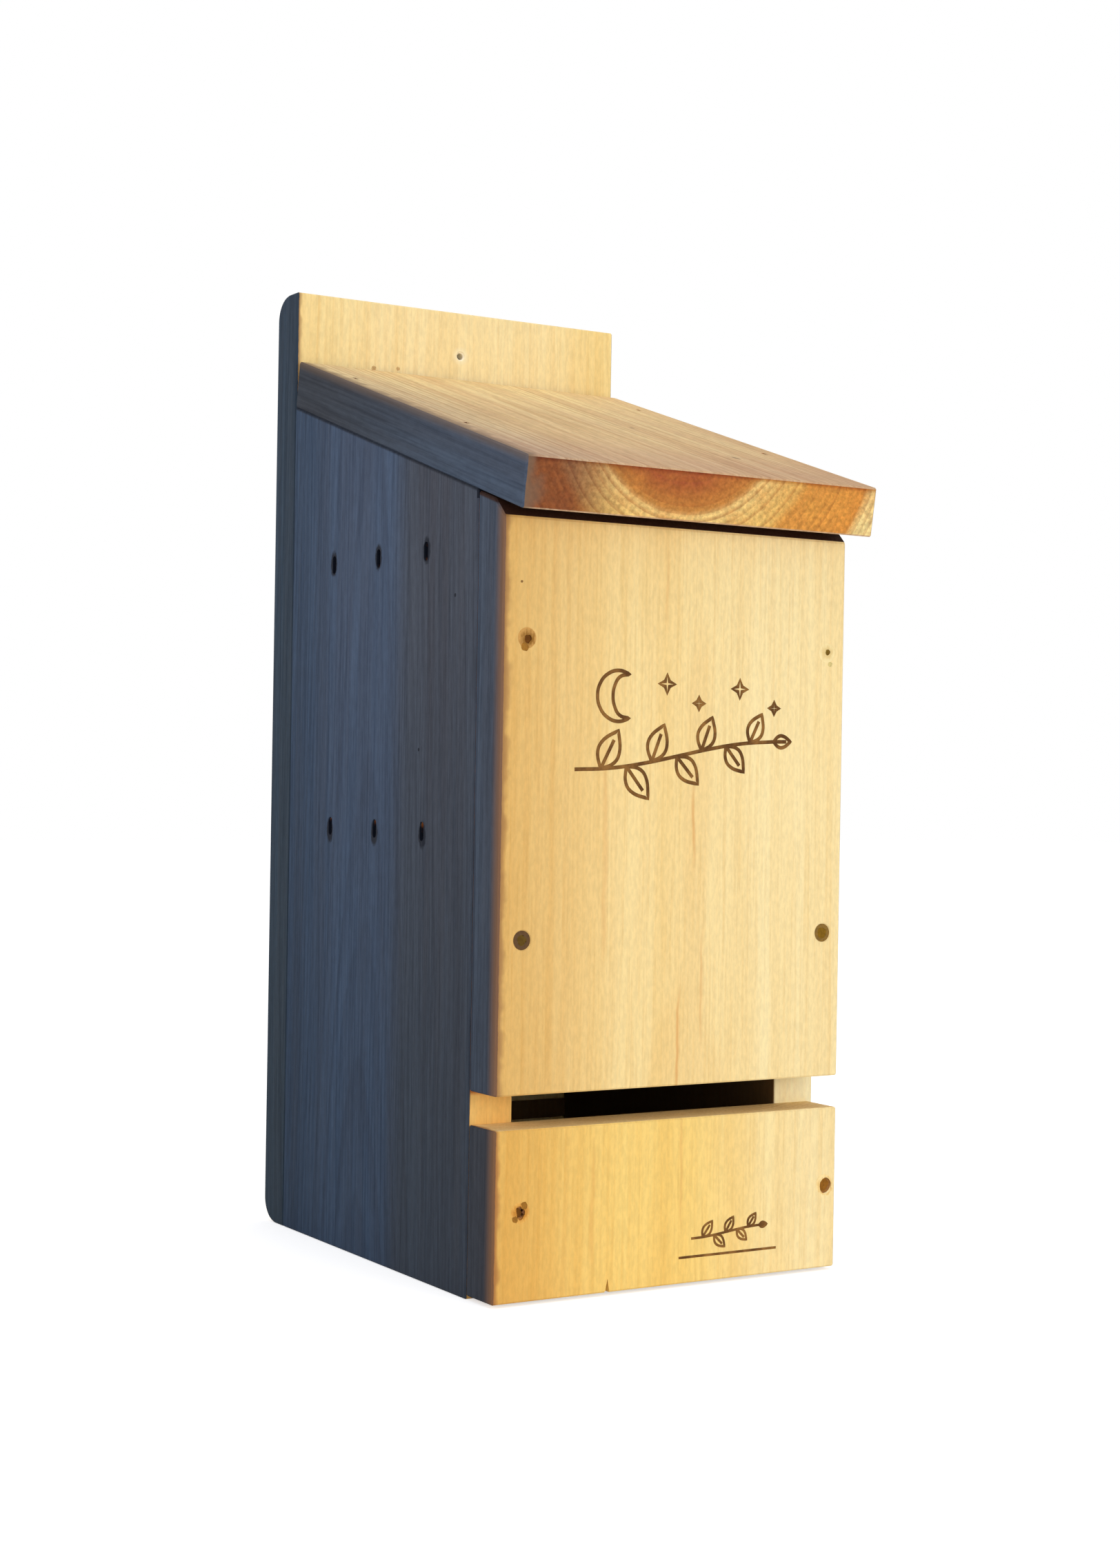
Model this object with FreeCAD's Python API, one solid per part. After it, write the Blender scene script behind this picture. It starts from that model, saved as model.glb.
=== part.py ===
import FreeCAD, Part
import math
import os

# A bat box of sawn boards. A tall back board carries two sides, whose tops are cut to the slope
# of a plain roof board. Two front panels leave a vent slot between them, and three grooved
# partitions, stapled between the sides, part the inside into chambers that are open below.
# X is to the right, -Y to the front and +Z up. The origin is under the middle of the whole box.

# Walls
board_thick = 22.0
box_width = 184.0
side_depth = 184.0
side_front_height = 346.0
arris = 0.7

# Back board, with its rear edges rounded
back_height = 460.0
back_round = 12.0
hang_hole_radius = 1.75
hang_hole_below_top = 22.0
hang_hole_flare = 0.8

# Roof, as wide as the box, with both ends cut off square by a few degrees, towards plumb
roof_pitch = 17.3
roof_length = 231.5
roof_end_bevel = 8.0

# Front panels and the slot between them
panel_left_setback = 0.5
panel_right_setback = 2.8
lower_panel_lift = 1.5
lower_panel_height = 73.0
slot_height = 14.5
upper_panel_height = 244.0
split_from_left = 58.0
split_height = 6.0
split_width = 2.4
split_depth = 3.0

# Top of the upper panel, which follows the roof from behind and then falls to the front face
roof_joint_gap = 0.8
panel_top_run = 14.0

# Roost partitions
partition_names = ("rear", "middle", "front")
partition_thick = 22.0
partition_height = 184.0
partition_top_gap = 4.4

# Gripping grooves, as a saw leaves them
groove_pitch = 12.7
groove_width = 3.0
groove_depth = 1.6
groove_margin = 15.0

# Screws of the front panels, with insets and turns in degrees given from the left
screw_radius = 2.1
screw_head_radius = 4.1
screw_head_height = 2.3
screw_length = 41.0
screw_tip_length = 6.0
screw_sink = 0.4
upper_screw_side_inset = 12.5
upper_screw_below_top = 51.0
upper_screw_above_bottom = 65.5
upper_screw_turns = (35.0, 80.0, 15.0, 60.0)
lower_screw_side_insets = (13.8, 9.3)
lower_screw_above_bottom = 38.0
lower_screw_turns = (50.0, 20.0)
recess_reach = 2.3
recess_arm_width = 1.1
recess_depth = 2.2

# Narrow staples of the partitions and the back, driven with their crowns up the grain
staple_crown = 7.0
staple_wire_width = 1.3
staple_wire_thick = 1.1
staple_length = 38.0
staple_corner = 0.8
staple_point = 2.5
staple_end_inset = 30.0
back_staple_heights = (50.0, 195.0, 340.0)
back_staple_sink = 1.0

# The oval marks that the driver leaves over the staples of the sides
mark_height = 8.6
mark_width = 3.6
mark_depth = 2.6

# Finishing nails of the roof, of square wire with a T-shaped head
nail_wire = 1.8
nail_head_length = 3.6
nail_head_height = 1.6
nail_length = 50.0
nail_point = 3.0
nail_sink = 0.8
nail_end_inset = 39.0

# Play of every screw, staple and nail in its hole
fastener_play = 0.1

# Sizes that follow from those above
slope = math.radians(roof_pitch)
inner_width = box_width - 2 * board_thick
side_rear_height = side_front_height + side_depth * math.tan(slope)
panel_left = panel_left_setback - box_width / 2
panel_width = box_width - panel_left_setback - panel_right_setback
panel_front = -side_depth - board_thick
upper_panel_bottom = lower_panel_lift + lower_panel_height + slot_height
end_bevel = math.radians(roof_end_bevel)
roof_end_rise = board_thick - arris * math.cos(end_bevel)
roof_end_run = roof_length - roof_end_rise * math.tan(end_bevel)
roof_reach = roof_end_run * math.cos(slope) + roof_end_rise * math.sin(slope)
shift_to_middle = (roof_reach - board_thick) / 2
wall_middle = (box_width - board_thick) / 2
partition_step = side_depth / (len(partition_names) + 1)
partition_places = [-partition_step * (index + 1) for index in range(len(partition_names))]

os.makedirs("parts", exist_ok=True)


def vec(x, y, z):
    return FreeCAD.Vector(x, y, z)


def line(start, end):
    return Part.LineSegment(start, end).toShape()


def arc(start, middle, end):
    return Part.Arc(start, middle, end).toShape()


def prism(points, depth):
    # a solid pushed along depth from a closed outline of points
    return Part.Face(Part.makePolygon(points + points[:1])).extrude(depth)


def standing_box(width, depth, height, x, y, z):
    # centred on x and y, standing on z
    return Part.makeBox(width, depth, height, vec(x - width / 2, y - depth / 2, z))


def turned(points):
    # a solid turned about Z from its half outline of (radius, height) points
    outline = [vec(radius, 0, height) for radius, height in points]
    face = Part.Face(Part.makePolygon(outline + outline[:1]))
    return face.revolve(vec(0, 0, 0), vec(0, 0, 1), 360)


def planed(board):
    return board.makeChamfer(arris, board.Edges)


def save(name, shape):
    moved = shape.copy()
    moved.translate(vec(0, shift_to_middle, 0))
    moved.exportStep("parts/" + name + ".step")


# Fasteners are drawn with the top of the head at zero, pointing down, and broad along X.
# A hole has its fastener's form with some play, and lift opens it upwards to the surface.

def flat_wire(outline, thick):
    # bent or cut from flat wire, with its outline in X and Z and its thickness across Y
    return prism([vec(x, -thick / 2, z) for x, z in outline], vec(0, thick, 0))


def quarter_turned(shape):
    crossing = shape.copy()
    crossing.rotate(vec(0, 0, 0), vec(0, 0, 1), 90)
    return crossing


def screw_shank(play, lift, end):
    # with its head, whose cone goes on widening as far as the lift
    taper = (screw_head_radius - screw_radius) / screw_head_height
    mouth = screw_head_radius + play + lift * taper
    return turned([(0, lift), (mouth, lift), (screw_radius + play, -screw_head_height),
                   (screw_radius + play, end), (0, end)])


def screw():
    # with a cross recess and a four-sided point
    shank_end = screw_tip_length - screw_length
    half = screw_radius / math.sqrt(2)
    tip = flat_wire([(-half, shank_end), (half, shank_end), (0, -screw_length)], 2 * half)
    arm = flat_wire([(-recess_reach, 0), (recess_reach, 0), (recess_reach / 2, -recess_depth),
                     (-recess_reach / 2, -recess_depth)], recess_arm_width)
    body = screw_shank(0, 0, shank_end).fuse(tip.common(quarter_turned(tip)))
    return body.cut([arm, quarter_turned(arm)])


def screw_hole():
    return screw_shank(fastener_play, 2 * screw_sink, -screw_length - fastener_play)


def staple(play, lift):
    # a crown with bent corners and two legs, each cut to a chisel point
    outer = staple_crown / 2 + play
    inner = staple_crown / 2 - staple_wire_width - play
    bend = lift - staple_corner
    under = -staple_wire_thick - play
    end = -staple_length - play * (1 + staple_point / staple_wire_width)
    half = [(outer - staple_corner, lift), (outer, bend), (outer, end),
            (inner, end + staple_point), (inner, under)]
    return flat_wire(half + [(-x, z) for x, z in reversed(half)], staple_wire_thick + 2 * play)


def nail(play, lift):
    head = nail_head_length / 2 + play
    wire = nail_wire / 2 + play
    under = -nail_head_height - play
    end = -nail_length - play
    half = [(head, lift), (head, under), (wire, under), (wire, end + nail_point)]
    return flat_wire(half + [(0, end)] + [(-x, z) for x, z in reversed(half)], 2 * wire)


def oval_mark():
    # two round ends joined by straight sides
    radius = mark_width / 2
    reach = mark_height / 2 - radius
    edges = []
    for side in (-1, 1):
        edges.append(line(vec(-reach, side * radius, 0), vec(reach, side * radius, 0)))
        edges.append(arc(vec(side * reach, -radius, 0), vec(side * (reach + radius), 0, 0),
                         vec(side * reach, radius, 0)))
    return Part.Face(Part.Wire(Part.__sortEdges__(edges))).extrude(vec(0, 0, mark_depth))


# A seat is where a fastener's top goes, the way it is driven, and the way its breadth runs

def driven(shape, seats):
    copies = []
    for place, way, broad in seats:
        up = way * -1
        copy = shape.copy()
        copy.Placement = FreeCAD.Placement(place, FreeCAD.Rotation(broad, up.cross(broad), up, "ZXY"))
        copies.append(copy)
    return copies


def screw_seats(places, turns):
    # the places are in (x, z) points, and each turn is that of the recess
    seats = []
    for (x, z), turn in zip(places, turns):
        angle = math.radians(turn)
        broad = vec(math.cos(angle), 0, math.sin(angle))
        seats.append((vec(x, panel_front + screw_sink, z), vec(0, 1, 0), broad))
    return seats


def upper_screw_seats():
    x = box_width / 2 - upper_screw_side_inset
    top = upper_panel_bottom + upper_panel_height - upper_screw_below_top
    bottom = upper_panel_bottom + upper_screw_above_bottom
    return screw_seats([(-x, top), (-x, bottom), (x, top), (x, bottom)], upper_screw_turns)


def lower_screw_seats():
    left, right = lower_screw_side_insets
    z = lower_panel_lift + lower_screw_above_bottom
    return screw_seats([(left - box_width / 2, z), (box_width / 2 - right, z)], lower_screw_turns)


def partition_staple_seats(y):
    heights = (partition_top() - staple_end_inset,
               partition_top() - partition_height + staple_end_inset)
    x = box_width / 2 - mark_depth
    return [(vec(side * x, y, height), vec(-side, 0, 0), vec(0, 0, 1))
            for side in (-1, 1) for height in heights]


def back_staple_seats(side):
    y = board_thick - back_staple_sink
    return [(vec(side * wall_middle, y, height), vec(0, -1, 0), vec(0, 0, 1))
            for height in back_staple_heights]


def roof_nail_seats(side):
    down = vec(0, math.sin(slope), -math.cos(slope))
    forward = vec(0, -math.cos(slope), -math.sin(slope))
    top_corner = vec(side * wall_middle, 0, side_rear_height) - down * (board_thick - nail_sink)
    side_top_length = side_depth / math.cos(slope)
    return [(top_corner + forward * along, down, forward)
            for along in (nail_end_inset, side_top_length - nail_end_inset)]


# Boards

def back_board():
    thick = board_thick
    curve = back_round * (1 - math.sqrt(0.5))
    flat = thick - back_round
    edges = [line(vec(0, 0, 0), vec(0, flat, 0)),
             arc(vec(0, flat, 0), vec(0, thick - curve, curve), vec(0, thick, back_round)),
             line(vec(0, thick, back_round), vec(0, thick, back_height - back_round)),
             arc(vec(0, thick, back_height - back_round),
                 vec(0, thick - curve, back_height - curve), vec(0, flat, back_height)),
             line(vec(0, flat, back_height), vec(0, 0, back_height)),
             line(vec(0, 0, back_height), vec(0, 0, 0))]
    board = Part.Face(Part.Wire(edges)).extrude(vec(box_width, 0, 0))
    board.translate(vec(-box_width / 2, 0, 0))
    return planed(board)


def hang_hole():
    place = vec(0, 0, back_height - hang_hole_below_top)
    bore = Part.makeCylinder(hang_hole_radius, board_thick, place, vec(0, 1, 0))
    mouth = Part.makeCone(hang_hole_radius + hang_hole_flare, hang_hole_radius, hang_hole_flare,
                          place, vec(0, 1, 0))
    return bore.fuse(mouth)


def side_board(side):
    points = [vec(0, 0, 0), vec(0, -side_depth, 0), vec(0, -side_depth, side_front_height),
              vec(0, 0, side_rear_height)]
    board = prism(points, vec(board_thick, 0, 0))
    board.translate(vec(side * wall_middle - board_thick / 2, 0, 0))
    return planed(board)


def roof_board():
    # drawn level, then tilted about its lower rear edge
    lean = board_thick * math.tan(end_bevel)
    points = [vec(0, 0, 0), vec(0, -roof_length, 0), vec(0, lean - roof_length, board_thick),
              vec(0, lean, board_thick)]
    board = planed(prism(points, vec(box_width, 0, 0)))
    board.rotate(vec(0, 0, 0), vec(1, 0, 0), roof_pitch)
    board.translate(vec(-box_width / 2, 0, side_rear_height))
    return board


def front_panel(bottom, top_outline):
    # the outline of the top is in (y, z) points, from the rear face to the front face
    outline = [(panel_front, bottom), (-side_depth, bottom)] + top_outline
    return planed(prism([vec(panel_left, y, z) for y, z in outline], vec(panel_width, 0, 0)))


def upper_front_panel():
    rear_top = side_front_height - roof_joint_gap
    run_end = (-side_depth - panel_top_run, rear_top - panel_top_run * math.tan(slope))
    front_end = (panel_front, upper_panel_bottom + upper_panel_height)
    return front_panel(upper_panel_bottom, [(-side_depth, rear_top), run_end, front_end])


def lower_front_panel():
    top = lower_panel_lift + lower_panel_height
    return front_panel(lower_panel_lift, [(-side_depth, top), (panel_front, top)])


def edge_split():
    # a short split that runs up the grain from the lower panel's bottom edge
    x = -box_width / 2 + split_from_left
    bottom = lower_panel_lift
    points = [vec(x - split_width / 2, panel_front, bottom),
              vec(x + split_width / 2, panel_front, bottom),
              vec(x, panel_front, bottom + split_height)]
    return prism(points, vec(0, split_depth, 0))


def grooves(face_y, inward, bottom, top):
    # level saw cuts across the inside; inward is the way into the board
    count = int((top - bottom - 2 * groove_margin) / groove_pitch) + 1
    first = (top + bottom - (count - 1) * groove_pitch - groove_width) / 2
    y = face_y + inward * groove_depth / 2
    return [standing_box(inner_width, groove_depth, groove_width, 0, y, first + row * groove_pitch)
            for row in range(count)]


def partition_top():
    # level for all three, set by the front one under the slope
    front_face = partition_places[-1] - partition_thick / 2
    under_roof = side_front_height + (front_face + side_depth) * math.tan(slope)
    return under_roof - partition_top_gap


def partition(y):
    top = partition_top()
    bottom = top - partition_height
    half = partition_thick / 2
    board = planed(standing_box(inner_width, partition_thick, partition_height, 0, y, bottom))
    return board.cut(grooves(y - half, 1, bottom, top) + grooves(y + half, -1, bottom, top))


# Everything is cut for what is driven through it, and saved

upper_holes = driven(screw_hole(), upper_screw_seats())
lower_holes = driven(screw_hole(), lower_screw_seats())
partition_holes = []
for y in partition_places:
    seats = partition_staple_seats(y)
    partition_holes += driven(staple(fastener_play, mark_depth), seats) + driven(oval_mark(), seats)

roof_holes = []
back_holes = grooves(0, 1, 0, side_rear_height) + [hang_hole()]
for side, name in ((-1, "left"), (1, "right")):
    nails = driven(nail(0, 0), roof_nail_seats(side))
    nail_holes = driven(nail(fastener_play, 2 * nail_sink), roof_nail_seats(side))
    staples = driven(staple(0, 0), back_staple_seats(side))
    staple_holes = driven(staple(fastener_play, 2 * back_staple_sink), back_staple_seats(side))
    save(name + "_roof_nails", Part.makeCompound(nails))
    save(name + "_back_staples", Part.makeCompound(staples))
    holes = partition_holes + upper_holes + lower_holes + nail_holes + staple_holes
    save(name + "_side", side_board(side).cut(holes))
    roof_holes += nail_holes
    back_holes += staple_holes
save("roof_board", roof_board().cut(roof_holes))
save("back_board", back_board().cut(back_holes))

save("upper_front_panel", upper_front_panel().cut(upper_holes))
save("lower_front_panel", lower_front_panel().cut(lower_holes + [edge_split()]))
save("upper_panel_screws", Part.makeCompound(driven(screw(), upper_screw_seats())))
save("lower_panel_screws", Part.makeCompound(driven(screw(), lower_screw_seats())))

for name, y in zip(partition_names, partition_places):
    save(name + "_partition", partition(y).cut(partition_holes))
    staples = driven(staple(0, 0), partition_staple_seats(y))
    save(name + "_partition_staples", Part.makeCompound(staples))
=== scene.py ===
import math
import random

import bmesh
import bpy
from mathutils import Matrix, Quaternion, Vector


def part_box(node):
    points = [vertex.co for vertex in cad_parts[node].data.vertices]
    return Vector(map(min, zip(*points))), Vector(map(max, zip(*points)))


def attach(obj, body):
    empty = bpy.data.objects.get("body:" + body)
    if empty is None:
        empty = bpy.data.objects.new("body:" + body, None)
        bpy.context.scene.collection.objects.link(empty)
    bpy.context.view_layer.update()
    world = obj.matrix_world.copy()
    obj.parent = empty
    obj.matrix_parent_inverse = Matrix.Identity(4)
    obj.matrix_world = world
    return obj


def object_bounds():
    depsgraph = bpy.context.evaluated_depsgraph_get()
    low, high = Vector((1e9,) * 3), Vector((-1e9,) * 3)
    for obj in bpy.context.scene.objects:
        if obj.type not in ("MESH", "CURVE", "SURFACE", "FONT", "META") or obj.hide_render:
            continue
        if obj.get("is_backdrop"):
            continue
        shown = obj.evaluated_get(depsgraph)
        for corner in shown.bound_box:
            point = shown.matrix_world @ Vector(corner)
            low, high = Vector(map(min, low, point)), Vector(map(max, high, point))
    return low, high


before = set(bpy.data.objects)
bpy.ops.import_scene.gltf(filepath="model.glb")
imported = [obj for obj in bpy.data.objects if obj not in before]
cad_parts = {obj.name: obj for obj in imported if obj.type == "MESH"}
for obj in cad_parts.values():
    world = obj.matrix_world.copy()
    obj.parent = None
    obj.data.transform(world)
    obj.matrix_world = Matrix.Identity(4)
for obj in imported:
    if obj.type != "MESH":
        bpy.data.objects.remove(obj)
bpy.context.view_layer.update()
print("frame loaded")

# Places are in millimetres: x from the middle, y from the back board's front, z from the ground
mm = 0.001
roofPitch = 17.3  # degrees
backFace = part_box("back_board")[0].y
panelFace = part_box("upper_front_panel")[0].y


def at(x, y, z):
    return Vector((x * mm, backFace + y * mm, z * mm))


def rgb(red, green, blue):
    # a colour as a picture editor shows it, from 0 to 255, made linear
    linear = []
    for value in (red, green, blue):
        share = value / 255
        linear.append(share / 12.92 if share <= 0.04045 else ((share + 0.055) / 1.055) ** 2.4)
    return (*linear, 1)


# Small helpers that put a node in a tree and wire it

def addNode(tree, kind, settings=None, inputs=None):
    node = tree.nodes.new(kind)
    for name, value in (settings or {}).items():
        setattr(node, name, value)
    for name, value in (inputs or {}).items():
        if isinstance(value, bpy.types.NodeSocket):
            tree.links.new(value, node.inputs[name])
        else:
            node.inputs[name].default_value = value
    return node


def addMath(tree, operation, first, second=0.0):
    settings = {"operation": operation}
    return addNode(tree, "ShaderNodeMath", settings, {0: first, 1: second}).outputs[0]


def addRamp(tree, value, low, high, toLow=0.0, toHigh=1.0, smooth=True):
    settings = {"interpolation_type": "SMOOTHSTEP" if smooth else "LINEAR", "clamp": True}
    inputs = {"Value": value, "From Min": low, "From Max": high, "To Min": toLow, "To Max": toHigh}
    return addNode(tree, "ShaderNodeMapRange", settings, inputs).outputs["Result"]


def addMix(tree, factor, first, second, blend="MIX"):
    settings = {"data_type": "RGBA", "blend_type": blend, "clamp_factor": True}
    # sockets 0, 6, 7 and output 2 are the colour ones
    return addNode(tree, "ShaderNodeMix", settings, {0: factor, 6: first, 7: second}).outputs[2]


def addColourRamp(tree, value, stops):
    # the first stop is at 0 and the last at 1
    node = addNode(tree, "ShaderNodeValToRGB", {}, {0: value})
    elements = node.color_ramp.elements
    elements[0].color = stops[0][1]
    elements[1].color = stops[-1][1]
    for position, colour in stops[1:-1]:
        elements.new(position).color = colour
    return node.outputs[0]


def addVectorMath(tree, operation, *given, output=0):
    settings = {"operation": operation}
    return addNode(tree, "ShaderNodeVectorMath", settings, dict(enumerate(given))).outputs[output]


def addStretched(tree, vector, stretch):
    return addVectorMath(tree, "MULTIPLY", vector, stretch)


def addScaled(tree, vector, scale):
    given = {0: vector, "Scale": scale}
    return addNode(tree, "ShaderNodeVectorMath", {"operation": "SCALE"}, given).outputs[0]


def addAway(tree, vector, point, kept=(1, 0, 1)):
    # the distance of each place from a point, along the axes that are kept
    return addVectorMath(tree, "DISTANCE", addStretched(tree, vector, kept), point, output="Value")


def addParts(tree, vector):
    return addNode(tree, "ShaderNodeSeparateXYZ", {}, {0: vector}).outputs


def addLevel(tree, vector):
    # the height of the roof's slope through each point, where it meets the back board's front face
    y, z = addParts(tree, vector)[1:3]
    slope = math.tan(math.radians(roofPitch))
    forward = addMath(tree, "SUBTRACT", y, backFace)
    return addMath(tree, "SUBTRACT", z, addMath(tree, "MULTIPLY", forward, slope))


def addNoise(tree, vector, scale, detail=2.0, roughness=0.5):
    inputs = {"Vector": vector, "Scale": scale, "Detail": detail, "Roughness": roughness}
    return addNode(tree, "ShaderNodeTexNoise", {}, inputs)


def addGroup(tree, group, inputs):
    return addNode(tree, "ShaderNodeGroup", {"node_tree": group}, inputs).outputs


def addBump(tree, shader, height, strength, distance):
    given = {"Height": height, "Strength": strength, "Distance": distance * mm}
    bump = addNode(tree, "ShaderNodeBump", {}, given)
    tree.links.new(bump.outputs["Normal"], shader.inputs["Normal"])


def newMaterial(name):
    material = bpy.data.materials.new(name)
    material.use_nodes = True
    tree = material.node_tree
    place = addNode(tree, "ShaderNodeTexCoord").outputs["Object"]
    return material, tree, tree.nodes["Principled BSDF"], place


def giveMaterial(mesh, material):
    mesh.materials.clear()
    mesh.materials.append(material)


def newMesh(name, sheet):
    mesh = bpy.data.meshes.new(name)
    sheet.to_mesh(mesh)
    sheet.free()
    return mesh


def newGroup(name, inputs, outputs):
    group = bpy.data.node_groups.new(name, "ShaderNodeTree")
    for title, kind, value in inputs:
        socket = group.interface.new_socket(name=title, in_out="INPUT",
                                            socket_type="NodeSocket" + kind)
        if value is not None:
            socket.default_value = value
    for title, kind in outputs:
        group.interface.new_socket(name=title, in_out="OUTPUT", socket_type="NodeSocket" + kind)
    start = group.nodes.new("NodeGroupInput")
    end = group.nodes.new("NodeGroupOutput")
    return group, start.outputs, end.inputs


# Wood grain: growth rings round a pith along Z, with bands and fibres that run with them

def makeGrainMasks():
    group, given, result = newGroup(
        "grainMasks",
        [("Vector", "Vector", None), ("Ring Width", "Float", 0.003), ("Taper", "Float", 0.01),
         ("Wobble", "Float", 0.004), ("Fineness", "Float", 700.0)],
        [("Late", "Float"), ("Bands", "Float"), ("Streak", "Float"), ("Radius", "Float"),
         ("Height", "Float")])
    slow = addStretched(group, given["Vector"], (1, 1, 0.16))
    drift = addNoise(group, slow, 16.0, 2.0).outputs["Color"]
    centred = addVectorMath(group, "SUBTRACT", drift, (0.5, 0.5, 0.5))
    scaled = addScaled(group, centred, given["Wobble"])
    bent = addVectorMath(group, "ADD", given["Vector"], scaled)
    cone = addMath(group, "MULTIPLY", addParts(group, bent)[2], given["Taper"])
    radius = addMath(group, "ADD", addAway(group, bent, (0, 0, 0), (1, 1, 0)), cone)
    turns = addMath(group, "DIVIDE", radius, given["Ring Width"])
    share = addMath(group, "FRACT", turns)
    rise = addRamp(group, share, 0.25, 0.85)
    fall = addRamp(group, share, 0.86, 1.0, 1.0, 0.0)
    ringNumber = addMath(group, "FLOOR", turns)
    strength = addNode(group, "ShaderNodeTexWhiteNoise", {"noise_dimensions": "1D"},
                       {"W": ringNumber}).outputs["Value"]
    strength = addRamp(group, strength, 0.0, 1.0, 0.25, 1.0, smooth=False)
    late = addMath(group, "MULTIPLY", addMath(group, "MULTIPLY", rise, fall), strength)
    bandPlace = addStretched(group, bent, (1, 1, 0.03))
    bands = addNoise(group, bandPlace, 70.0, 3.0, 0.5).outputs["Fac"]
    finePlace = addStretched(group, bent, (1, 1, 0.02))
    streak = addNoise(group, finePlace, given["Fineness"], 3.0, 0.65).outputs["Fac"]
    height = addMath(group, "ADD", addMath(group, "MULTIPLY", late, 0.5), streak)
    for name, value in (("Late", late), ("Bands", bands), ("Streak", streak), ("Radius", radius),
                        ("Height", height)):
        group.links.new(value, result[name])
    return group


def makeGrainColour():
    group, given, result = newGroup(
        "grainColour",
        [("Late", "Float", 0.0), ("Bands", "Float", 0.5), ("Streak", "Float", 0.5),
         ("Early Colour", "Color", None), ("Late Colour", "Color", None),
         ("Band Colour", "Color", None), ("Fibre Colour", "Color", None),
         ("Ring Contrast", "Float", 0.6), ("Band Contrast", "Float", 0.6),
         ("Fibre Contrast", "Float", 0.4)],
        [("Colour", "Color")])
    ring = addMath(group, "MULTIPLY", given["Late"], given["Ring Contrast"])
    colour = addMix(group, ring, given["Early Colour"], given["Late Colour"])
    band = addMath(group, "MULTIPLY", addRamp(group, given["Bands"], 0.38, 0.66),
                   given["Band Contrast"])
    colour = addMix(group, band, colour, given["Band Colour"])
    fibre = addMath(group, "MULTIPLY", addRamp(group, given["Streak"], 0.42, 0.72),
                    given["Fibre Contrast"])
    colour = addMix(group, fibre, colour, given["Fibre Colour"])
    group.links.new(colour, result["Colour"])
    return group


def makePaintedSideShade():
    # painted shade: where the slate colour that stands in for the shaded outer sides lies, past the
    # left and right limits, with a soft brown fringe on the left
    group, given, result = newGroup(
        "paintedSideShade",
        [("Vector", "Vector", None), ("Left", "Float", -0.0912), ("Right", "Float", 0.0912),
         ("Ragged Edge", "Float", 0.0006), ("Fringe", "Float", 0.002)],
        [("Mask", "Float"), ("Fringe Mask", "Float")])
    across = addParts(group, given["Vector"])[0]
    beyondLeft = addMath(group, "SUBTRACT", given["Left"], across)
    beyondRight = addMath(group, "SUBTRACT", across, given["Right"])
    beyond = addMath(group, "MAXIMUM", beyondRight, beyondLeft)
    ragged = addNoise(group, given["Vector"], 260.0, 3.0, 0.6).outputs["Fac"]
    ragged = addMath(group, "MULTIPLY", addMath(group, "SUBTRACT", ragged, 0.3), given["Ragged Edge"])
    beyond = addMath(group, "ADD", beyond, ragged)
    mask = addRamp(group, beyond, -0.00015, 0.0001)
    cloud = addNoise(group, given["Vector"], 90.0, 2.0).outputs["Fac"]
    cloud = addRamp(group, cloud, 0.3, 0.7, 0.5, 1.3)
    fringe = addMath(group, "MULTIPLY", given["Fringe"], addMath(group, "MULTIPLY", cloud, -1.0))
    fringeMask = addRamp(group, beyondLeft, fringe, 0.0)
    group.links.new(mask, result["Mask"])
    group.links.new(fringeMask, result["Fringe Mask"])
    return group


def makeChamberMask():
    # the faces that look into the box, behind the panels, before the back board and under the roof
    group, given, result = newGroup(
        "chamberMask", [("Vector", "Vector", None)], [("Mask", "Float")])
    x, y = addParts(group, given["Vector"])[:2]
    across = addMath(group, "LESS_THAN", addMath(group, "ABSOLUTE", x), chamber["halfWidth"] * mm)
    behind = addMath(group, "GREATER_THAN", y, backFace + chamber["front"] * mm)
    before = addMath(group, "LESS_THAN", y, backFace + chamber["rear"] * mm)
    under = addMath(group, "LESS_THAN", addLevel(group, given["Vector"]),
                    chamber["rearHeight"] * mm)
    mask = addMath(group, "MULTIPLY", addMath(group, "MULTIPLY", across, behind),
                   addMath(group, "MULTIPLY", before, under))
    group.links.new(mask, result["Mask"])
    return group


def makeWoodFlecks():
    # small soft flecks and the rub of a dull saw, as a factor round 1
    group, given, result = newGroup(
        "woodFlecks",
        [("Vector", "Vector", None), ("Size", "Float", 0.002), ("Depth", "Float", 0.1)],
        [("Factor", "Float")])
    shrunk = addStretched(group, given["Vector"], (1, 1, 0.35))
    scale = addMath(group, "DIVIDE", 1.0, given["Size"])
    fine = addNoise(group, shrunk, scale, 3.0, 0.65).outputs["Fac"]
    low = addMath(group, "SUBTRACT", 1.0, given["Depth"])
    high = addMath(group, "ADD", 1.0, addMath(group, "MULTIPLY", given["Depth"], 0.6))
    group.links.new(addRamp(group, fine, 0.3, 0.7, low, high), result["Factor"])
    return group


def makePinKnots():
    # a few tiny dark knots, stretched a little along the grain
    group, given, result = newGroup(
        "pinKnots",
        [("Vector", "Vector", None), ("Spacing", "Float", 0.03), ("Share", "Float", 0.25)],
        [("Mask", "Float")])
    shrunk = addStretched(group, given["Vector"], (1, 1, 0.6))
    scale = addMath(group, "DIVIDE", 1.0, given["Spacing"])
    cells = addNode(group, "ShaderNodeTexVoronoi", {}, {"Vector": shrunk, "Scale": scale}).outputs
    size = addParts(group, cells["Color"])
    radius = addRamp(group, size[0], 0.0, 1.0, 0.012, 0.035, smooth=False)
    edge = addMath(group, "MULTIPLY", radius, 2.2)
    dot = addRamp(group, cells["Distance"], radius, edge, 1.0, 0.0)
    kept = addMath(group, "LESS_THAN", size[1], given["Share"])
    group.links.new(addMath(group, "MULTIPLY", dot, kept), result["Mask"])
    return group


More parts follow.
